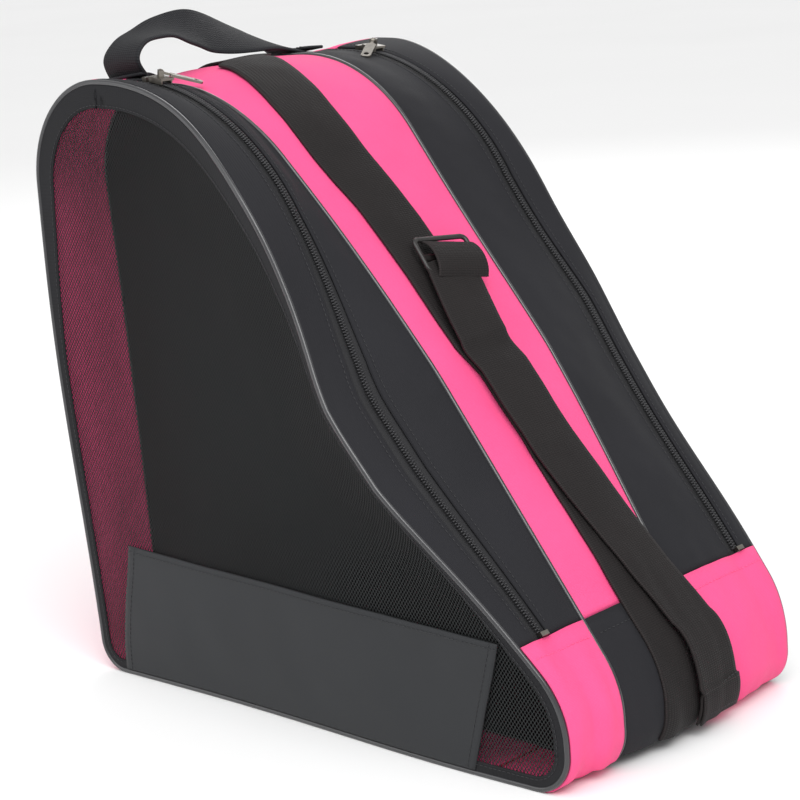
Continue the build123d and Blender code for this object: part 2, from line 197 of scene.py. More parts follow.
# where the stuffed sides swell (or pull in): amount, place (x, z) and reach
SWELLS = {
    "near": [(26, 85, 185, 65), (33, 60, 375, 65), (6, -195, 220, 90), (-4, -60, 0, 90),
             (-4, 200, 30, 45)],
    "far": [(13, 55, 215, 45), (28, -160, 375, 65), (9, -195, 220, 90), (-11, 200, 30, 45)],
}
MOST_BULGE = 24.5
CROWN_SPOT = (-80, 370, 70)
TOE_SPOT = (190, 60, 90)
NEAR_SEAM_SWAY = -13.0
FAR_SEAM_SWAY = -17.0
FAR_SEAM_RISE = 7.5


def edge_bulge(side, index):
    """How far the stuffed side seam stands out sideways, round the outline."""
    p = sample(EDGE_RING, index)
    out = sum(amount * bump(p, x, z, reach) for amount, x, z, reach in SWELLS[side])
    return np.minimum(out, MOST_BULGE)


def seam_sway(side, index):
    """How far an inner seam wanders along Y from its straight line."""
    p = sample(CENTRE_RING, index)
    if side == "near":
        return NEAR_SEAM_SWAY * bump(p, *CROWN_SPOT)
    return FAR_SEAM_SWAY * bump(p, *TOE_SPOT)


def seam_rise(side, index):
    """How far an inner seam stands out from the centre outline."""
    p = sample(CENTRE_RING, index)
    crown = 0.0 if side == "near" else FAR_SEAM_RISE
    return 0.4 + crown * bump(p, *CROWN_SPOT)


# ---------------------------------------------------------------- mesh helpers
def wobble(p, size, seed):
    return noise.noise(Vector((p[0] / size + seed, p[1] / size, p[2] / size)))


def wobbles(points, size, seed):
    flat = points.reshape(-1, 3)
    found = [wobble(p, size, seed) for p in flat]
    return np.array(found).reshape(points.shape[:-1])


def distances(points):
    """Distance along a path to each of its points."""
    steps = np.linalg.norm(np.diff(points, axis=0), axis=1)
    return np.concatenate([[0], np.cumsum(steps)])


def resample(values, along, where):
    return np.stack([np.interp(where, along, values[:, k]) for k in range(3)], 1)


def make_object(name, points, faces, uv=None, material=None):
    """A smooth mesh object from millimetre points; uv is one millimetre pair per point."""
    mesh = bpy.data.meshes.new(name)
    mesh.from_pydata((np.asarray(points, float) * MM).tolist(), [], faces)
    mesh.validate()
    if uv is not None:
        layer = mesh.uv_layers.new(name="Cloth")
        loops = np.zeros(len(mesh.loops), int)
        mesh.loops.foreach_get("vertex_index", loops)
        layer.data.foreach_set("uv", (np.asarray(uv, float)[loops] * MM).ravel())
    mesh.polygons.foreach_set("use_smooth", [True] * len(mesh.polygons))
    mesh.update()
    piece = bpy.data.objects.new(name, mesh)
    bpy.context.scene.collection.objects.link(piece)
    if material:
        mesh.materials.append(MATERIALS[material])
    return piece


def grid_faces(rows, cols, wrap=False, flip=False):
    faces = []
    for i in range(rows - 1):
        for j in range(cols if wrap else cols - 1):
            k = (j + 1) % cols
            face = (i * cols + j, i * cols + k, (i + 1) * cols + k, (i + 1) * cols + j)
            faces.append(face[::-1] if flip else face)
    return faces


def centre_fan(rings, count, flip):
    """Triangles from the last of some rings of points to the one point that follows them."""
    last, middle = (rings - 1) * count, rings * count
    pairs = [(last + i, last + (i + 1) % count) for i in range(count)]
    return [(b, a, middle) if flip else (a, b, middle) for a, b in pairs]


def grid_piece(name, points, uv, material, flip=False, thickness=CLOTH, wrap=False):
    """A cloth piece from a grid of points, thickened behind its faces."""
    rows, cols = points.shape[:2]
    piece = make_object(name, points.reshape(-1, 3), grid_faces(rows, cols, wrap, flip),
                        uv.reshape(-1, 2), material)
    if thickness:
        shell = piece.modifiers.new("cloth thickness", "SOLIDIFY")
        shell.thickness = thickness * MM
        shell.offset = -1
    return piece


def place(piece, slot, *nodes, body="bag"):
    """Rides the piece on a body and hides the CAD nodes that it stands for; slot is not used."""
    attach(piece, body)
    if nodes:
        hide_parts(*nodes)
    return piece


def frames_along(points, normals, closed=False):
    """Unit tangent, side and normal at each point of a path."""
    if closed:
        tangent = np.roll(points, -1, 0) - np.roll(points, 1, 0)
    else:
        tangent = np.gradient(points, axis=0)
    tangent /= np.linalg.norm(tangent, axis=1, keepdims=True)
    side = np.cross(tangent, normals)
    side /= np.linalg.norm(side, axis=1, keepdims=True)
    return tangent, side, np.cross(side, tangent)


def sweep(name, points, normals, profile, material, closed=False):
    """A profile of (side, normal) offsets carried along a path, capped unless closed."""
    points = np.asarray(points, float)
    normals = np.asarray(normals, float)
    _, side, up = frames_along(points, normals, closed)
    profile = np.asarray(profile, float)
    if profile.ndim == 2:
        profile = np.repeat(profile[None], len(points), 0)
    count = profile.shape[1]
    mesh = (points[:, None] + side[:, None] * profile[:, :, :1] + up[:, None] * profile[:, :, 1:])
    along = distances(points)
    faces = []
    rows = len(points)
    for i in range(rows if closed else rows - 1):
        n = (i + 1) % rows
        for j in range(count):
            k = (j + 1) % count
            faces.append((i * count + j, n * count + j, n * count + k, i * count + k))
    if not closed:
        faces.append(tuple(range(count)))
        faces.append(tuple((rows - 1) * count + j for j in reversed(range(count))))
    uv = np.stack([profile[:, :, 0], np.repeat(along[:, None], count, 1)], -1)
    return make_object(name, mesh.reshape(-1, 3), faces, uv.reshape(-1, 2), material)


def oval_profile(a, b, count=12):
    angles = np.linspace(0, 2 * math.pi, count, endpoint=False)
    return np.stack([a * np.cos(angles), b * np.sin(angles)], 1)


def band_profile(width, thickness, across=14):
    """Webbing section: flat faces with round edges and a slight thickening at the selvedges."""
    half, t = width / 2, thickness / 2
    s = np.linspace(-half + t, half - t, across)
    swell = 1 + 0.12 * smooth(np.abs(s), half - 3, half - 1)
    top = np.stack([s, t * swell], 1)
    low = np.stack([s[::-1], -t * swell[::-1]], 1)
    right = [[half - 0.3 * t, 0.6 * t], [half, 0], [half - 0.3 * t, -0.6 * t]]
    left = [[-half + 0.3 * t, -0.6 * t], [-half, 0], [-half + 0.3 * t, 0.6 * t]]
    return np.vstack([top, right, low, left])


def scatter(name, template, faces, places, material):
    """One mesh of many copies of a small template; places are (origin, 3x3 axes)."""
    points, found = [], []
    for origin, axes in places:
        base = len(points)
        points.extend(np.asarray(template) @ np.asarray(axes) + origin)
        found.extend(tuple(base + i for i in face) for face in faces)
    return make_object(name, points, found, None, material)


def pill():
    """A small rounded grain of unit length and width, long along its first axis."""
    points = [(-0.5, 0, 0)]
    for x, r in ((-0.34, 0.4), (0.0, 0.5), (0.34, 0.4)):
        for k in range(6):
            a = math.pi * k / 3
            points.append((x, r * math.cos(a), r * math.sin(a)))
    points.append((0.5, 0, 0))
    faces = [(0, 1 + (k + 1) % 6, 1 + k) for k in range(6)]
    for ring in range(2):
        for k in range(6):
            a, b = 1 + ring * 6 + k, 1 + ring * 6 + (k + 1) % 6
            faces.append((a, b, b + 6, a + 6))
    faces += [(19, 13 + k, 13 + (k + 1) % 6) for k in range(6)]
    return np.array(points), faces


def stitch_row(name, points, normals, material="thread", pitch=3.2, length=2.5, width=0.55,
               lift=0.15, body="bag", slot="cloth_black"):
    """A row of thread stitches laid on a path."""
    points = np.asarray(points, float)
    along = distances(points)
    count = max(2, int(along[-1] / pitch))
    where = (np.arange(count) + 0.5) * along[-1] / count
    spots = resample(points, along, where)
    ups = resample(np.asarray(normals), along, where)
    tangent, side, up = frames_along(spots, ups)
    grain, faces = pill()
    places = []
    for p, t, s, u in zip(spots, tangent, side, up):
        axes = np.array([t * length, s * width, u * width])
        places.append((p + u * lift, axes))
    piece = scatter(name, grain, faces, places, material)
    return place(piece, slot, body=body)


# ---------------------------------------------------------------- materials
MATERIALS = {}


class Nodes:
    """Short way to write a node tree."""

    def __init__(self, name):
        self.material = bpy.data.materials.new(name)
        self.material.use_nodes = True
        self.tree = self.material.node_tree
        self.tree.nodes.clear()
        self.output = self.tree.nodes.new("ShaderNodeOutputMaterial")
        MATERIALS[name] = self.material

    def add(self, kind, inputs=(), **settings):
        node = self.tree.nodes.new("ShaderNode" + kind)
        for key, value in settings.items():
            setattr(node, key, value)
        for key, value in dict(inputs).items():
            if isinstance(value, bpy.types.NodeSocket):
                self.tree.links.new(value, node.inputs[key])
            else:
                node.inputs[key].default_value = value
        return node

    def math(self, operation, a, b=0.0, clamp=False):
        node = self.add("Math", {0: a, 1: b}, operation=operation, use_clamp=clamp)
        return node.outputs[0]

    def shader(self, inputs):
        node = self.add("BsdfPrincipled", inputs)
        self.tree.links.new(node.outputs[0], self.output.inputs["Surface"])
        return node


def ridge(n, coordinate, pitch):
    """Absolute sine of a coordinate in metres: one hump each pitch."""
    turned = n.math("MULTIPLY", coordinate, math.pi / pitch)
    return n.math("ABSOLUTE", n.math("SINE", turned))


def shade_mix(n, factor, dark, light):
    node = n.add("Mix", {0: factor, 6: (*dark, 1), 7: (*light, 1)}, data_type="RGBA")
    return node.outputs[2]


def cloth_material(name, light, dark, pitch=0.0008, sheen=0.15, rough=0.75, bump=0.25,
                   tint=(1, 1, 1), specular=0.35):
    """Plain-weave cloth: crossing yarns, soft fading and painted sheen on the high places."""
    n = Nodes(name)
    uv = n.add("UVMap", uv_map="Cloth").outputs[0]
    split = n.add("SeparateXYZ", {0: uv})
    warp = ridge(n, split.outputs[0], pitch)
    weft = ridge(n, split.outputs[1], pitch)
    weave = n.math("MULTIPLY", warp, weft)
    place_at = n.add("TexCoord").outputs["Object"]
    fade = n.add("TexNoise", {"Vector": place_at, "Scale": 14.0, "Detail": 4.0,
                              "Roughness": 0.55}).outputs[0]
    fuzz_and_sheen = n.add("TexNoise", {"Vector": place_at, "Scale": 900.0, "Detail": 2.0}).outputs[0]
    # yarn crests (weave) and the fine fuzz noise are painted lighter here: painted sheen on the high places
    tone = n.math("ADD", n.math("MULTIPLY", fade, 0.75), n.math("MULTIPLY", weave, 0.30))
    tone = n.math("SUBTRACT", n.math("ADD", tone, n.math("MULTIPLY", fuzz_and_sheen, 0.25)), 0.22, True)
    colour = shade_mix(n, tone, dark, light)
    height = n.math("ADD", weave, n.math("MULTIPLY", fuzz_and_sheen, 0.4))
    normal = n.add("Bump", {"Height": height, "Strength": bump, "Distance": 0.0003}).outputs[0]
    roughness = n.math("ADD", n.math("MULTIPLY", fade, 0.18), rough - 0.09, True)
    n.shader({"Base Color": colour, "Roughness": roughness, "Normal": normal,
              "Sheen Weight": sheen, "Sheen Roughness": 0.45, "Sheen Tint": (*tint, 1),
              "Specular IOR Level": specular})


def webbing_material(name, light, dark):
    """Ribbed webbing: lengthwise ribs crossed by fine picks, with painted highlight on the selvedges."""
    n = Nodes(name)
    split = n.add("SeparateXYZ", {0: n.add("UVMap", uv_map="Cloth").outputs[0]})
    ribs = ridge(n, split.outputs[0], 0.0022)
    picks = ridge(n, split.outputs[1], 0.0013)
    weave = n.math("MULTIPLY", n.math("ADD", n.math("MULTIPLY", ribs, 0.7), 0.3), picks)
    place_at = n.add("TexCoord").outputs["Object"]
    fade = n.add("TexNoise", {"Vector": place_at, "Scale": 22.0, "Detail": 5.0}).outputs[0]
    # edge masks the selvedges, which are painted lighter: painted highlight along the strap edges; rib
    # crests get a painted sheen too
    edge = n.math("GREATER_THAN", n.math("ABSOLUTE", split.outputs[0]), 0.0181)
    tone = n.math("ADD", n.math("MULTIPLY", fade, 0.6), n.math("MULTIPLY", weave, 0.45))
    tone = n.math("SUBTRACT", n.math("ADD", tone, n.math("MULTIPLY", edge, 0.5)), 0.2, True)
    colour = shade_mix(n, tone, dark, light)
    normal = n.add("Bump", {"Height": weave, "Strength": 0.55, "Distance": 0.0005}).outputs[0]
    n.shader({"Base Color": colour, "Roughness": n.math("ADD", n.math("MULTIPLY", fade, 0.2), 0.6),
              "Normal": normal, "Sheen Weight": 0.02, "Sheen Roughness": 0.5,
              "Specular IOR Level": 0.2})


def mesh_material():
    """Knitted mesh: fine round holes on a diamond lattice."""
    n = Nodes("side_mesh")
    place_at = n.add("TexCoord").outputs["Object"]
    split = n.add("SeparateXYZ", {0: place_at})
    pitch = 0.0024
    first = n.math("ADD", split.outputs[0], n.math("MULTIPLY", split.outputs[2], 0.72))
    second = n.math("SUBTRACT", split.outputs[0], n.math("MULTIPLY", split.outputs[2], 0.72))
    weave = n.math("MULTIPLY", ridge(n, first, pitch), ridge(n, second, pitch))
    solid = n.math("LESS_THAN", weave, 0.36)
    fade = n.add("TexNoise", {"Vector": place_at, "Scale": 10.0, "Detail": 3.0}).outputs[0]
    # strands are painted darker towards the holes, where the bump sinks: painted shade on the thread flanks
    tone = n.math("ADD", n.math("MULTIPLY", fade, 0.8), n.math("MULTIPLY", weave, -0.8), True)
    colour = shade_mix(n, tone, (0.005, 0.006, 0.006), (0.020, 0.023, 0.024))
    normal = n.add("Bump", {"Height": n.math("MULTIPLY", weave, -1.0), "Strength": 0.5,
                            "Distance": 0.0005}).outputs[0]
    n.shader({"Base Color": colour, "Roughness": n.math("ADD", n.math("MULTIPLY", fade, 0.2), 0.6),
              "Normal": normal, "Alpha": solid, "Specular IOR Level": 0.3})


def hard_material(name, light, dark, rough, metallic=0.0, coat=0.0, scale=60.0, scratch=0.15):
    """Moulded plastic or plated metal with rubbed patches and fine scratches."""
    n = Nodes(name)
    place_at = n.add("TexCoord").outputs["Object"]
    patch = n.add("TexNoise", {"Vector": place_at, "Scale": scale, "Detail": 5.0}).outputs[0]
    stretched = n.add("Mapping", {"Vector": place_at, "Scale": (400, 2600, 400)}).outputs[0]
    lines = n.add("TexNoise", {"Vector": stretched, "Scale": 1.0, "Detail": 2.0}).outputs[0]
    tone = n.math("ADD", n.math("MULTIPLY", patch, 0.9), n.math("MULTIPLY", lines, 0.2))
    colour = shade_mix(n, n.math("SUBTRACT", tone, 0.15, True), dark, light)
    roughness = n.math("ADD", n.math("MULTIPLY", patch, 0.22), rough - 0.1, True)
    normal = n.add("Bump", {"Height": lines, "Strength": scratch, "Distance": 0.0002}).outputs[0]
    n.shader({"Base Color": colour, "Roughness": roughness, "Metallic": metallic,
              "Normal": normal, "Coat Weight": coat, "Coat Roughness": 0.25})


def make_materials():
    cloth_material("cloth_pink", (0.93, 0.110, 0.300), (0.78, 0.060, 0.200), sheen=0.03,
                   tint=(1.0, 0.75, 0.85))
    # a darker copy of cloth_pink for the board covers inside the pockets: painted shade
    cloth_material("pink_painted_shade", (0.74, 0.085, 0.235), (0.50, 0.045, 0.140), sheen=0.02)
    cloth_material("cloth_black", (0.022, 0.022, 0.026), (0.009, 0.009, 0.011), sheen=0.02,
                   specular=0.2)
    cloth_material("lower_cloth", (0.026, 0.028, 0.031), (0.015, 0.016, 0.018), pitch=0.0005,
                   sheen=0.02, rough=0.60, bump=0.10, specular=0.3)
    cloth_material("band_cloth", (0.020, 0.020, 0.023), (0.008, 0.008, 0.009), pitch=0.0010,
                   sheen=0.02, specular=0.2)
    cloth_material("lining_black", (0.016, 0.016, 0.018), (0.006, 0.006, 0.007), sheen=0.0)
    cloth_material("zip_tape", (0.024, 0.024, 0.027), (0.008, 0.008, 0.009), pitch=0.0006,
                   rough=0.65)
    webbing_material("strap_webbing", (0.022, 0.018, 0.018), (0.007, 0.006, 0.006))
    webbing_material("handle_webbing", (0.020, 0.021, 0.024), (0.007, 0.007, 0.009))
    mesh_material()
    hard_material("piping", (0.034, 0.034, 0.038), (0.012, 0.012, 0.014), 0.30, coat=0.5)
    hard_material("zip_teeth", (0.030, 0.030, 0.033), (0.012, 0.012, 0.014), 0.42)
    hard_material("buckle_plastic", (0.026, 0.023, 0.022), (0.009, 0.008, 0.008), 0.40)
    hard_material("zip_metal", (0.42, 0.39, 0.34), (0.12, 0.11, 0.10), 0.34, metallic=1.0,
                  scale=180.0, scratch=0.3)
    hard_material("thread", (0.034, 0.034, 0.038), (0.014, 0.014, 0.016), 0.65)
    hard_material("thread_pink", (0.95, 0.14, 0.34), (0.75, 0.07, 0.22), 0.65)


# ---------------------------------------------------------------- gusset surfaces
def pocket_share(side, w):
    """Share of the outline blend at a distance w from the bag's middle plane."""
    inner = abs(SEAMS[side]) + SEAM_GAP
    return np.interp(w, [inner, TAPE[0], TAPE[1], EDGE_Y], [0, ZIP_SHARE, ZIP_SHARE, 1])


def toe_creases(points):
    """Shallow folds that run up the toe, where the cloth is drawn round its corner."""
    squeezed = points * np.array([0.15, 1.0, 0.25])
    return 1.5 * wobbles(squeezed, 11.0, 50.0) * smooth(points[..., 0], 150, 185)


def pocket_surface(side, w, index, lift=0.0, creases=1.0):
    """Points and normals of an outer pocket's cloth at (w, index)."""
    inner = abs(SEAMS[side]) + SEAM_GAP
    share = pocket_share(side, w)
    p, normal = outline_at(share, index)
    bulge = edge_bulge(side, index)
    on_slope = smooth(p[..., 0], 4, 62)
    fan = np.clip((w - inner) / (EDGE_Y - inner), 0, 2) ** 1.3
    beyond_zip = smooth(w, TAPE[1], EDGE_Y)
    near_seam = 1 - smooth(w, inner, 84)
    y = SIDES[side] * (w + bulge * (fan * on_slope + beyond_zip * (1 - on_slope)))
    y = y + seam_sway(side, index) * near_seam
    inside = np.clip((w - inner) / (TAPE[0] - inner), 0, 1)
    outside = np.clip((w - TAPE[1]) / (EDGE_Y - TAPE[1]), 0, 1)
    middle = smooth(p[..., 0], -60, 40) * 0.7 + 0.3
    puff = 2.4 * np.sin(math.pi * inside) * middle + 0.8 * np.sin(math.pi * outside)
    points = np.stack([p[..., 0], y, p[..., 1]], -1)
    soft = (1.3 * wobbles(points, 38.0, 3.1) + 0.5 * wobbles(points, 15.0, 9.4)
            + toe_creases(points)) * creases
    ends = smooth(inside, 0, 0.25) * smooth(TAPE[0] - w, 0, 12)
    ends = np.where(p[..., 0] > 170, smooth(inside, 0, 0.2) * smooth(EDGE_Y - w, 0, 8), ends)
    move = lift + puff + soft * ends + seam_rise(side, index) * near_seam
    move = np.where(points[..., 2] < 8, np.minimum(move, lift), move)
    points[..., 0] += normal[..., 0] * move
    points[..., 2] = np.maximum(points[..., 2] + normal[..., 1] * move, 0.0)
    return points, np.stack([normal[..., 0], 0 * y, normal[..., 1]], -1)


def pocket_strip(name, side, span, region, material, node, lift=0.0, rows=None, cols=24,
                 v_span=(0.0, 1.0), thickness=CLOTH, creases=1.0):
    """A cloth strip of an outer pocket between two distances from the middle plane."""
    rows = rows or REGION_ROWS[region]
    w = np.linspace(span[0], span[1], cols)[None].repeat(rows, 0)
    v = np.linspace(v_span[0], v_span[1], rows)[:, None].repeat(cols, 1)
    index = region_index(region, pocket_share(side, w), v)
    points, _ = pocket_surface(side, w, index, lift, creases)
    along = distances(points[:, cols // 2])
    uv = np.stack([w, along[:, None].repeat(cols, 1)], -1)
    piece = grid_piece(name, points, uv, material, flip=side == "far", thickness=thickness)
    return place(piece, material, node)


def centre_limits(index):
    """The two y values between which the centre pocket's cloth runs."""
    low = SEAMS["near"] + SEAM_GAP + seam_sway("near", index)
    high = SEAMS["far"] - SEAM_GAP + seam_sway("far", index)
    return low, high


def centre_surface(y, index, lift=0.0, press=0.0):
    """Points and normals of the centre pocket's cloth at (y, index)."""
    low, high = centre_limits(index)
    p, normal = outline_at(0 * y, index)
    u = np.clip((y - low) / (high - low), 0, 1)
    points = np.stack([p[..., 0], y, p[..., 1]], -1)
    dome = np.sin(math.pi * u) ** 0.8
    puff = 3.4 * dome * (smooth(p[..., 0], -190, -120) * 0.8 + 0.2)
    soft = 1.3 * wobbles(points, 40.0, 21.0) + 0.5 * wobbles(points, 16.0, 5.5)
    soft = soft + 1.3 * toe_creases(points)
    rise = seam_rise("near", index) * (1 - u) + seam_rise("far", index) * u
    move = lift + (puff + soft * dome) * (1 - press) + rise
    move = np.where(points[..., 2] < 8, np.minimum(move, lift), move)
    points[..., 0] += normal[..., 0] * move
    points[..., 2] = np.maximum(points[..., 2] + normal[..., 1] * move, 0.0)
    return points, np.stack([normal[..., 0], 0 * y, normal[..., 1]], -1)


def centre_strip(name, region, material, *nodes, lift=0.0, rows=None, cols=40,
                 span=(None, None), v_span=(0.0, 1.0), thickness=CLOTH):
    """A cloth strip of the centre pocket; a span limit of None is the seam."""
    rows = rows or REGION_ROWS[region]
    u = np.linspace(0, 1, cols)[None].repeat(rows, 0)
    v = np.linspace(v_span[0], v_span[1], rows)[:, None].repeat(cols, 1)
    index = region_index(region, 0 * u, v)
    low, high = centre_limits(index)
    low = low if span[0] is None else span[0] + 0 * low
    high = high if span[1] is None else span[1] + 0 * high
    y = low + (high - low) * u
    points, _ = centre_surface(y, index, lift)
    along = distances(points[:, cols // 2])
    uv = np.stack([y, along[:, None].repeat(cols, 1)], -1)
    piece = grid_piece(name, points, uv, material, flip=True, thickness=thickness)
    return place(piece, material, *nodes)


def crosswise_stitches(name, side, region, v, lift, material, slot):
    """A row of stitches across one gusset, at fraction v of a region."""
    if side == "centre":
        index = region_index(region, 0.0, v)
        low, high = centre_limits(index)
        y = np.linspace(low + 4, high - 4, 40)
        points, normals = centre_surface(y, region_index(region, 0 * y, v), lift)
    else:
        w = np.linspace(abs(SEAMS[side]) + 4, EDGE_Y - 1, 40)
        points, normals = pocket_surface(side, w, region_index(region, pocket_share(side, w), v),
                                         lift)
    stitch_row(name, points, normals, material, slot=slot)


def lengthwise_stitches(name, side, w, lift):
    v = np.linspace(0.01, 0.99, 260)
    index = region_index("front", pocket_share(side, w + 0 * v), v)
    points, normals = pocket_surface(side, w + 0 * v, index, lift)
    stitch_row(name, points, normals)


# ---------------------------------------------------------------- the three pockets
def make_gussets():
    for side in SIDES:
        seam = abs(SEAMS[side]) + SEAM_GAP
        edge = EDGE_Y + 1.2
        for part, span, region, material, node, more in (
                ("front_cloth", (seam, TAPE[0]), "front", "cloth_black", "front_gusset", {}),
                ("facing_cloth", (TAPE[1], edge), "front", "cloth_black", "zip_facing",
                 {"cols": 10}),
                ("zip_band", (TAPE[0] - 1.5, TAPE[1] + 1.5), "front", "zip_tape", "zip_tape",
                 {"lift": -1.4, "cols": 10, "thickness": 0.7, "creases": 0.0}),
                ("rear_cloth", (seam, edge), "rear", "cloth_pink", "rear_gusset", {}),
                ("base_cloth", (seam, edge), "base", "cloth_pink", "base_panel", {}),
                ("toe_cloth", (seam, edge), "toe", "cloth_pink", "toe_panel",
                 {"lift": 0.9, "cols": 30})):
            pocket_strip(f"{side}_{part}", side, span, region, material, f"{side}_{node}", **more)
        lengthwise_stitches(f"{side}_zip_stitches_inner", side, TAPE[0] - 2.4, 0.0)
        lengthwise_stitches(f"{side}_zip_stitches_outer", side, TAPE[1] + 2.4, 0.0)
        crosswise_stitches(f"{side}_toe_stitches", side, "toe", 0.022, 0.9, "thread_pink",
                           "cloth_pink")
    centre_strip("centre_front_cloth", "front", "cloth_pink", "centre_front_gusset")
    centre_strip("centre_toe_cloth", "toe", "cloth_black", "centre_toe_panel", lift=0.9)
    centre_strip("centre_base_cloth", "base", "cloth_black", "centre_base_panel")
    crosswise_stitches("centre_toe_stitches", "centre", "toe", 0.022, 0.9, "thread",
                       "cloth_black")


REAR_ZIP_Y = -10.0
REAR_ZIP_Z = (40.0, 300.0)
REAR_SLOT = 4.6


def rear_v(z):
    """Fraction of the rear region at a height on the rear wall."""
    v = np.linspace(0, 1, 800)
    heights = outline_at(0 * v, region_index("rear", 0 * v, v))[0][:, 1]
    return float(np.interp(z, heights[:700], v[:700]))


def make_centre_rear():
    """Rear cloth of the centre pocket, in pieces round its zip slot."""
    first, last = rear_v(REAR_ZIP_Z[0] - 5), rear_v(REAR_ZIP_Z[1] + 5)
    slot_low, slot_high = REAR_ZIP_Y - REAR_SLOT, REAR_ZIP_Y + REAR_SLOT
    centre_strip("rear_cloth_near_half", "rear", "cloth_pink",
                 "centre_rear_gusset", span=(None, slot_low), v_span=(first, last), cols=18)
    centre_strip("rear_cloth_far_half", "rear", "cloth_pink",
                 span=(slot_high, None), v_span=(first, last), cols=18)
    centre_strip("rear_cloth_top", "rear", "cloth_pink", v_span=(last, 1), rows=60)
    centre_strip("rear_cloth_bottom", "rear", "cloth_pink", v_span=(0, first),
                 rows=40)
    centre_strip("rear_zip_band", "rear", "zip_tape", "centre_zip_tape",
                 span=(slot_low - 1.5, slot_high + 1.5), v_span=(first - 0.002, last + 0.002),
                 lift=-1.6, cols=8, thickness=0.7)
    v = np.linspace(first, last, 150)
    for name, y in (("near", slot_low - 2.2), ("far", slot_high + 2.2)):
        points, normals = centre_surface(y + 0 * v, region_index("rear", 0 * v, v), 0)
        stitch_row(f"rear_zip_stitches_{name}", points, normals, "thread_pink", slot="cloth_pink")


def zip_teeth(name, points, normals, node):
    """Interlocked coil teeth along a path, alternating to each side."""
    along = distances(points)
    count = int(along[-1] / 0.9)
    where = np.linspace(0.5, along[-1] - 0.5, count)
    spots = resample(points, along, where)
    ups = resample(normals, along, where)
    tangent, side, up = frames_along(spots, ups)
    grain, faces = pill()
    places = []
    for i, (p, t, s, u) in enumerate(zip(spots, tangent, side, up)):
        way = 1 if i % 2 else -1
        places.append((p + s * way * 0.95, np.array([s * 3.2, t * 1.15, u * 2.0])))
    piece = scatter(name, grain, faces, places, "zip_teeth")
    return place(piece, "zip_teeth", node)


def make_zips():
    for side in SIDES:
        v = np.linspace(0.0, 0.995, 400)
        w = ZIP_Y + 0 * v
        index = region_index("zip", pocket_share(side, w), v)
        points, normals = pocket_surface(side, w, index, 0.4, creases=0.0)
        zip_teeth(f"{side}_zip_coil", points, normals, f"{side}_zip_chain")
    v = np.linspace(rear_v(REAR_ZIP_Z[0]), rear_v(REAR_ZIP_Z[1]), 300)
    points, normals = centre_surface(REAR_ZIP_Y + 0 * v, region_index("rear", 0 * v, v), 0.4,
                                     press=1.0)
    zip_teeth("centre_zip_coil", points, normals, "centre_zip_chain")
    for name in ("near", "centre", "far"):
        for part in ("zip_slider", "zip_pull", "zip_stops"):
            dress(f"{name}_{part}", "zip_metal")


def dress(node, material):
    """Gives a CAD node that is shown a material of its own."""
    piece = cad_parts[node]
    piece.data.materials.clear()
    piece.data.materials.append(MATERIALS[material])


# ---------------------------------------------------------------- side panels
class SidePanel:
    """The domed face inside one edge piping: gives the height of cloth at any (x, z)."""

    def __init__(self, side):
        self.side = side
        self.sign = SIDES[side]
        index = np.arange(RING)
        ring, normal = outline_at(np.ones(RING), index.astype(float))
        self.ring, self.normal = ring, normal
        self.edge_y = EDGE_Y + 2.0 + edge_bulge(side, index.astype(float))
        rim = ring - normal * 2.6
        arm = rim - PANEL_MIDDLE
        angle = np.arctan2(arm[:, 1], arm[:, 0])
        order = np.argsort(angle)
        self.angle = angle[order]
        self.reach = np.linalg.norm(arm, axis=1)[order]
        self.rim_y = self.edge_y[order]

    def height(self, xz, lift=0.0):
        arm = xz - PANEL_MIDDLE
        angle = np.arctan2(arm[..., 1], arm[..., 0])
        reach = np.interp(angle, self.angle, self.reach, period=2 * math.pi)
        rim = np.interp(angle, self.angle, self.rim_y, period=2 * math.pi)
        s = np.clip(1 - np.linalg.norm(arm, axis=-1) / reach, 0, 1)
        k = 1 - (1 - np.clip(s / 0.62, 0, 1)) ** 2.4
        y = rim * (1 - k) + PANEL_Y[self.side] * k
        points = np.stack([xz[..., 0], y, xz[..., 1]], -1)
        soft = 1.6 * wobbles(points, 75.0, 31.0) + 0.5 * wobbles(points, 26.0, 2.0)
        points[..., 1] = self.sign * (y + lift + soft * smooth(s, 0, 0.2))
        return points

    def inset(self, depth, index):
        ring, normal = outline_at(1 + 0 * index, index)
        return ring - normal * np.asarray(depth)[..., None]


def edge_band_width(z):
    return 9.0 + 8.0 * smooth(z, 190, 360)


CUT_INSET = 2.8         # mesh cloth is cut this far inside the outline
BAND_INSET = 1.8        # edge band starts this far inside it
LOWER_LEFT = (-142.0, -162.0)
LOWER_RIGHT = (158.0, 134.0)
LOWER_TOP = (90.0, 82.0)


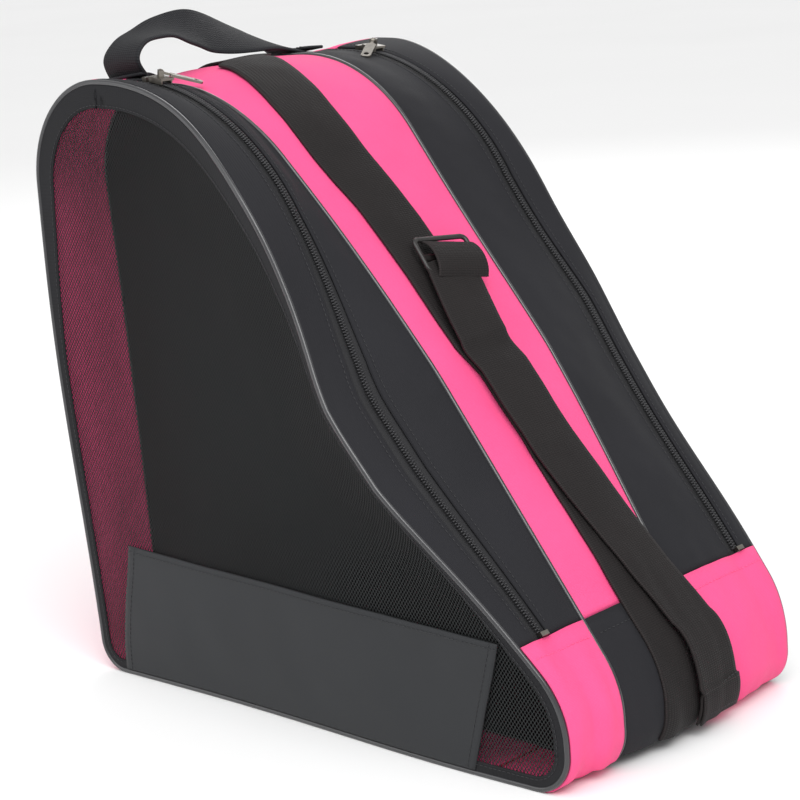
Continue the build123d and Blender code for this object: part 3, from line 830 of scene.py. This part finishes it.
def make_side_panel(side):
    panel = SidePanel(side)
    flip = side == "near"
    index = np.arange(RING, dtype=float)
    rings = []
    for s in np.linspace(0, 0.97, 58):
        rim = panel.inset(CUT_INSET + 0 * index, index)
        rings.append(PANEL_MIDDLE + (1 - s) * (rim - PANEL_MIDDLE))
    xz = np.array(rings)
    points = panel.height(xz)
    count = RING
    faces = grid_faces(len(xz), count, wrap=True, flip=flip)
    faces += centre_fan(len(xz), count, flip)
    middle = points[-1].mean(axis=0)
    net = make_object(f"{side}_mesh_cloth", np.vstack([points.reshape(-1, 3), middle]), faces,
                      np.vstack([xz.reshape(-1, 2), PANEL_MIDDLE]), "side_mesh")
    place(net, "side_mesh", f"{side}_mesh_panel")
    cut = panel.inset(CUT_INSET + 0 * index, index) * MM

    width = edge_band_width(panel.ring[:, 1])
    rows = []
    for k in np.linspace(0, 1, 8):
        rows.append(panel.inset(BAND_INSET + (width - BAND_INSET) * k, index))
    xz = np.array(rows)
    points = panel.height(xz, 0.9)
    uv = np.stack([np.linspace(0, 12, 8)[:, None].repeat(RING, 1),
                   (np.arange(RING) * 2.8)[None].repeat(8, 0)], -1)
    band = grid_piece(f"{side}_edge_band", points, uv, "band_cloth", flip=flip, thickness=0.8,
                      wrap=True)
    place(band, "cloth_black")
    inner = panel.inset(width - BAND_INSET, index)
    path = panel.height(inner, 1.0)
    stitch_row(f"{side}_band_stitches", path, np.repeat([[0, panel.sign, 0]], RING, 0))

    rows, cols = 48, 110
    u = np.linspace(0, 1, cols)[None].repeat(rows, 0)
    v = np.linspace(0, 1, rows)[:, None].repeat(cols, 1)
    left = LOWER_LEFT[1] + (LOWER_LEFT[0] - LOWER_LEFT[1]) * v
    right = LOWER_RIGHT[1] + (LOWER_RIGHT[0] - LOWER_RIGHT[1]) * v
    top = LOWER_TOP[0] + (LOWER_TOP[1] - LOWER_TOP[0]) * u
    z = 3.6 + (top - 3.6) * v
    xz = np.stack([left + (right - left) * u, z], -1)
    points = panel.height(xz, 1.7)
    lower = grid_piece(f"{side}_lower_cloth", points, xz, "lower_cloth", flip=not flip,
                       thickness=1.1)
    place(lower, "lower_cloth", f"{side}_lower_panel")
    for name, row in (("top", (slice(rows - 3, rows - 2), slice(None))),
                      ("front", (slice(None), slice(cols - 3, cols - 2))),
                      ("rear", (slice(None), slice(2, 3)))):
        path = points[row].reshape(-1, 3)
        stitch_row(f"{side}_lower_stitches_{name}", path,
                   np.repeat([[0, panel.sign, 0]], len(path), 0), slot="lower_cloth")


def make_pipings():
    index = np.arange(0, RING, 1.0)
    for side, sign in SIDES.items():
        ring, normal = outline_at(1 + 0 * index, index)
        at = ring - normal * PIPING_R
        y = sign * (EDGE_Y + 2.0 + edge_bulge(side, index))
        points = np.stack([at[:, 0], y, at[:, 1]], 1)
        normals = np.stack([normal[:, 0], 0 * y, normal[:, 1]], 1)
        cord = sweep(f"{side}_edge_cord", points, normals, oval_profile(PIPING_R + 0.1, PIPING_R + 0.1, 10),
                     "piping", closed=True)
        place(cord, "piping", f"{side}_edge_piping")
        ring, normal = outline_at(0 * index, index)
        at = ring + normal * (seam_rise(side, index) - 0.2)[:, None] * np.ones((RING, 1))
        at[:, 1] = np.maximum(at[:, 1], PIPING_R)
        points = np.stack([at[:, 0], SEAMS[side] + seam_sway(side, index), at[:, 1]], 1)
        normals = np.stack([normal[:, 0], 0 * y, normal[:, 1]], 1)
        cord = sweep(f"{side}_seam_cord", points, normals, oval_profile(PIPING_R, PIPING_R, 10),
                     "piping", closed=True)
        place(cord, "piping", f"{side}_seam_piping")


def make_linings():
    """The cloth walls between the pockets and the stiffening boards."""
    index = np.arange(RING, dtype=float)
    for side in SIDES:
        ring, normal = outline_at(0 * index, index)
        rim = ring - normal * 1.6
        xz = np.array([PANEL_MIDDLE + (1 - s) * (rim - PANEL_MIDDLE)
                       for s in np.linspace(0, 0.97, 30)])
        y = SEAMS[side] + seam_sway(side, index)[None] * np.linspace(1, 0, 30)[:, None]
        points = np.stack([xz[..., 0], y, xz[..., 1]], -1)
        slack = np.linspace(0, 1, 30)[:, None] ** 0.5
        points[..., 1] += 5.0 * wobbles(points, 90.0, 12.0) * slack
        faces = grid_faces(30, RING, wrap=True, flip=True)
        faces += centre_fan(30, RING, True)
        middle = points[-1].mean(axis=0)
        wall = make_object(f"{side}_divider_cloth", np.vstack([points.reshape(-1, 3), middle]),
                           faces, np.vstack([xz.reshape(-1, 2), PANEL_MIDDLE]), "lining_black")
        place(wall, "lining_black", f"{side}_divider")
    for name in ("near", "centre", "far"):
        low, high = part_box(f"{name}_base_board")
        lo, hi = np.array(low) / MM, np.array(high) / MM
        x = np.linspace(lo[0], hi[0], 60)[:, None].repeat(16, 1)
        y = np.linspace(lo[1], hi[1], 16)[None].repeat(60, 0)
        points = np.stack([x, y, hi[2] + 0 * x], -1)
        points[..., 2] += 0.4 * wobbles(points, 50.0, 1.0)
        uv = np.stack([x, y], -1)
        board = grid_piece(f"{name}_board_cover", points, uv, "pink_painted_shade", flip=True,
                           thickness=1.6)
        place(board, "stiffener", f"{name}_base_board")


# ---------------------------------------------------------------- shoulder strap
def ring_index(x, z):
    """Index of the centre outline nearest to (x, z)."""
    return float(np.argmin(np.hypot(CENTRE_RING[:, 0] - x, CENTRE_RING[:, 1] - z)))


# where each layer of webbing runs: a place on the outline (x, z) and how far across it lies (y)
LONG_ROUTE = [(-197, 305, 5), (-170, 370, 5), (-125, 371, 5), (-65, 360, -30), (-30, 335, -35),
              (10, 288, -20), (60, 230, -20), (130, 146, -10), (203, 6, -10)]
TOP_ROUTE = [(35, 258, -10), (65, 224, -20), (110, 171, -15), (155, 111, 0), (190, 65, 14),
             (203, 26, 20), (203, 8, 21)]


def strap_centre(route, count=260):
    """Smoothed outline indices and y values down the middle of a strap's route."""
    at = np.array([ring_index(x, z) for x, z, _ in route])
    fine = np.linspace(at[0], at[-1], count)
    y = np.interp(fine, at, np.array([y for _, _, y in route], float))
    for _ in range(60):
        y[1:-1] = 0.25 * y[:-2] + 0.5 * y[1:-1] + 0.25 * y[2:]
    return fine, y


def lay_webbing(name, route, lift, thickness=1.5, across=15):
    """Webbing that follows the cloth below it from edge to edge, so that none pokes through."""
    fine, y = strap_centre(route)
    offsets = np.linspace(-WEBBING / 2, WEBBING / 2, across)
    y = y[:, None] + offsets[None]
    index = fine[:, None].repeat(across, 1)
    points, normals = centre_surface(y, index, 0.0)
    share = np.linspace(0, 1, len(fine))[:, None].repeat(across, 1)
    height = lift(share, points) + thickness
    crown = 0.5 * (1 - (offsets / (WEBBING / 2)) ** 2)
    points = points + normals * (height + crown)[..., None]
    points[..., 2] = np.maximum(points[..., 2], thickness)
    middle = points[:, across // 2]
    along = distances(middle)
    uv = np.stack([offsets[None].repeat(len(fine), 0), along[:, None].repeat(across, 1)], -1)
    piece = grid_piece(name, points, uv, "strap_webbing", flip=True, thickness=thickness)
    return piece, middle, normals[:, across // 2]


def make_straps():

    def long_lift(_, p):
        return 0.6 + 0.2 * (1 + np.sin(p[..., 0] / 23))

    strap, _, _ = lay_webbing("shoulder_strap_long", LONG_ROUTE, long_lift)
    place(strap, "strap_webbing", "shoulder_strap")

    def top_lift(share, _):
        wave = 1.4 * np.sin(share * 9.0) + 0.7 * np.sin(share * 23.0 + 1)
        start = 3.6 * (1 - smooth(share, 0.0, 0.16))
        hang = 3.0 * smooth(share, 0.3, 0.6) * smooth(1 - share, 0.1, 0.3)
        return 4.4 + start + (wave + hang) * smooth(share, 0.0, 0.1) * smooth(1 - share, 0.0, 0.2)

    layer, top, _ = lay_webbing("shoulder_strap_top", TOP_ROUTE, top_lift)
    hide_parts("shoulder_strap_return")
    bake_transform(layer)

    sew_patch("front", [(203, 30, 20), (203, 10, 21)], 6.8)
    sew_patch("rear", [(-197, 322, 5), (-198, 344, 5)], 3.6)


def sew_patch(name, route, height):
    """A short patch of webbing that sews down one end of the strap."""
    patch, middle, ups = lay_webbing(f"strap_{name}_patch", route,
                                     lambda share, _: height + 0 * share, thickness=1.2)
    place(patch, "strap_webbing", f"strap_{name}_anchor")
    end_stitches(f"strap_{name}", middle, ups, (20, -20), 15, 0.3, "strap_webbing")


def end_stitches(prefix, middle, ups, ends, half, lift, slot):
    """Two rows of stitches across a sewn-down end of webbing."""
    _, sides, lifts = frames_along(middle, ups)
    for k, end in zip("ab", ends):
        line = np.array([middle[end] + sides[end] * s for s in np.linspace(-half, half, 20)])
        stitch_row(f"{prefix}_stitches_{k}", line + lifts[end] * lift,
                   np.repeat(lifts[end][None], 20, 0), slot=slot)


# ---------------------------------------------------------------- adjuster
ADJUSTER_AT = np.array([31.0, -7.0])
FRAME_LIFT = 6.4        # clears the strap below over the whole slide


def adjuster_axes():
    """Origin on the cloth, and the adjuster's down, across and out directions."""
    index = np.array([ring_index(ADJUSTER_AT[0], 262.0)])
    points, normals = centre_surface(np.array([ADJUSTER_AT[1]]), index, 0.0)
    up = normals[0]
    down = unit(np.array([up[2], 0.0, -up[0]]))
    across = np.cross(up, down)
    turn = math.radians(-7)
    down, across = (down * math.cos(turn) + across * math.sin(turn),
                    across * math.cos(turn) - down * math.sin(turn))
    return points[0], down, across, up


def make_adjuster():
    origin, down, across, up = adjuster_axes()
    half_w, half_l = 20.5, 11.5

    def at(d, a, h):
        return origin + down * d + across * a + up * h

    corner = 3.5
    outline = []
    for way_l, way_w, start in ((1, 1, 0), (-1, 1, 90), (-1, -1, 180), (1, -1, 270)):
        cx, cy = way_l * (half_l - corner), way_w * (half_w - corner)
        for k in range(9):
            a = math.radians(start + 90 * k / 8)
            outline.append((cx + corner * math.cos(a), cy + corner * math.sin(a)))
    ring = np.array([at(d, a, FRAME_LIFT + 0.003 * a * a) for d, a in outline])
    frame_ring = sweep("adjuster_frame", ring, np.repeat(up[None], len(ring), 0),
                       oval_profile(1.7, 1.4), "buckle_plastic", closed=True)
    place(frame_ring, "buckle_plastic", "strap_adjuster", body="adjuster")
    line = np.array([at(1.0, a, FRAME_LIFT) for a in np.linspace(-half_w + 1, half_w - 1, 30)])
    bar = sweep("adjuster_bar", line, np.repeat(up[None], 30, 0), oval_profile(2.4, 1.3),
                "buckle_plastic")
    place(bar, "buckle_plastic", body="adjuster")

    steps = np.linspace(0, 1, 60)
    loop = []
    for s in steps:
        d = -8.5 + 26.0 * s
        dome = math.sin(math.pi * min(1.0, s * 1.04)) ** 0.6
        loop.append(at(d, 4.5 - 2.5 * s, 6.2 + 5.6 * dome + 2.6 * s))
    loop = np.array(loop)
    for _ in range(6):
        loop[1:-1] = 0.25 * loop[:-2] + 0.5 * loop[1:-1] + 0.25 * loop[2:]
    wrap = sweep("strap_loop", loop, np.repeat(up[None], 60, 0), band_profile(WEBBING, 1.6),
                 "strap_webbing")
    place(wrap, "strap_webbing", "strap_bar_loop", body="adjuster")


# ---------------------------------------------------------------- carry handle
# middle of the webbing (y, z) from the near foot over the crest to the far foot
HANDLE_LINE = [(-78, 376), (-86, 388), (-76, 398), (-52, 402), (-24, 400), (5, 393), (35, 387),
               (58, 376)]
HANDLE_MIDDLE_X = -146.0
HANDLE_LEAN = (-24.0, -18.0)    # how far the front edge trails the rear one (y, z) at the crest


def make_handle():
    line = np.array(HANDLE_LINE, float)
    along = distances(line)
    fine = np.linspace(0, along[-1], 160)
    middle = np.stack([np.interp(fine, along, line[:, k]) for k in range(2)], 1)
    for _ in range(60):
        middle[1:-1] = 0.25 * middle[:-2] + 0.5 * middle[1:-1] + 0.25 * middle[2:]
    share = fine / fine[-1]
    lean_y = HANDLE_LEAN[0] * np.sin(math.pi * share) ** 1.3
    lean_z = HANDLE_LEAN[1] * np.sin(math.pi * share) ** 1.3 * smooth(share, 0.1, 0.55)
    spread = np.sqrt(WEBBING ** 2 - lean_y ** 2 - lean_z ** 2)
    points = np.stack([HANDLE_MIDDLE_X + 0 * fine, middle[:, 0], middle[:, 1]], 1)
    wide = np.stack([spread, lean_y, lean_z], 1)
    tangent = np.gradient(points, axis=0)
    normals = np.cross(tangent, wide)
    normals /= np.linalg.norm(normals, axis=1, keepdims=True)
    band = sweep("handle_band", points, normals, band_profile(WEBBING, 2.2), "handle_webbing")
    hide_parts("carry_handle", "handle_near_leg", "handle_far_leg")
    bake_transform(band)
    for side, w in (("near", 76.0), ("far", 62.0)):
        node = f"handle_{side}_end"
        span = np.linspace(w - 9, w + 9, 16)
        index = np.full(16, np.nan)
        for i, value in enumerate(span):
            share = float(pocket_share(side, value))
            index[i] = crossing(share, lambda p: p[:, 0] + 146.0, 1.0 * CORNER_STEPS,
                                2.5 * CORNER_STEPS)
        points, normals = pocket_surface(side, span, index, 1.2, creases=0.0)
        patch = sweep(f"handle_{side}_foot", points, normals, band_profile(WEBBING, 1.8),
                      "handle_webbing")
        place(patch, "handle_webbing", node)
        end_stitches(f"handle_{side}", points, normals, (2, 13), 16, 1.0, "handle_webbing")


# ---------------------------------------------------------------- camera, floor and light
CAMERA_AT = (958.0, -1008.0, 504.0)
CAMERA_TARGET = (-11.5, 0.0, 173.5)
CAMERA_ROLL = 3.7
LENS = 105.8


def make_camera():
    data = bpy.data.cameras.new("camera")
    data.lens = LENS
    data.sensor_width = 36.0
    data.clip_start, data.clip_end = 0.05, 20
    camera = bpy.data.objects.new("camera", data)
    towards = Vector(CAMERA_TARGET) - Vector(CAMERA_AT)
    aim = towards.to_track_quat("-Z", "Y").to_matrix().to_4x4()
    roll = Matrix.Rotation(-math.radians(CAMERA_ROLL), 4, "Z")
    camera.matrix_world = Matrix.Translation(Vector(CAMERA_AT) * MM) @ aim @ roll
    bpy.context.scene.collection.objects.link(camera)
    bpy.context.scene.camera = camera


def area_light(name, place_at, power, size, colour=(1, 1, 1)):
    data = bpy.data.lights.new(name, "AREA")
    data.energy, data.size, data.color = power, size, colour
    lamp = bpy.data.objects.new(name, data)
    lamp.location = place_at
    lamp.rotation_euler = (Vector((0, 0, 0.2)) - Vector(place_at)).to_track_quat("-Z", "Y").to_euler()
    bpy.context.scene.collection.objects.link(lamp)


def make_stage():
    n = Nodes("floor")
    place_at = n.add("TexCoord").outputs["Object"]
    cloud = n.add("TexNoise", {"Vector": place_at, "Scale": 1.5}).outputs[0]
    n.shader({"Base Color": shade_mix(n, cloud, (0.86, 0.86, 0.86), (0.90, 0.90, 0.90)),
              "Roughness": 0.9})
    floor = make_object("floor", [(-9000, -9000, 0), (9000, -9000, 0), (9000, 9000, 0),
                                  (-9000, 9000, 0)], [(0, 1, 2, 3)], None, "floor")
    world = bpy.data.worlds.new("studio")
    world.use_nodes = True
    tree = world.node_tree
    rays = tree.nodes.new("ShaderNodeLightPath")
    level = tree.nodes.new("ShaderNodeMix")
    level.inputs[2].default_value, level.inputs[3].default_value = 0.65, 1.0
    tree.links.new(rays.outputs["Is Camera Ray"], level.inputs[0])
    tree.nodes["Background"].inputs[0].default_value = (1, 1, 1, 1)
    tree.links.new(level.outputs[0], tree.nodes["Background"].inputs[1])
    bpy.context.scene.world = world
    area_light("key", (1.3, -0.7, 1.7), 22, 1.3)
    area_light("fill", (-1.2, -1.7, 0.9), 9, 1.4)
    area_light("rear", (-1.0, 1.6, 1.3), 8, 1.2)
    even = bpy.data.lights.new("even", "SUN")
    even.energy, even.angle = 1.25, math.radians(60)
    sky = bpy.data.objects.new("even", even)
    sky.rotation_euler = (math.radians(25), math.radians(20), 0)
    bpy.context.scene.collection.objects.link(sky)
    bpy.context.scene.view_settings.view_transform = "Standard"


make_materials()
make_camera()
make_gussets()
make_centre_rear()
make_zips()
for each_side in SIDES:
    make_side_panel(each_side)
make_pipings()
make_linings()
make_straps()
make_adjuster()
make_handle()
make_stage()
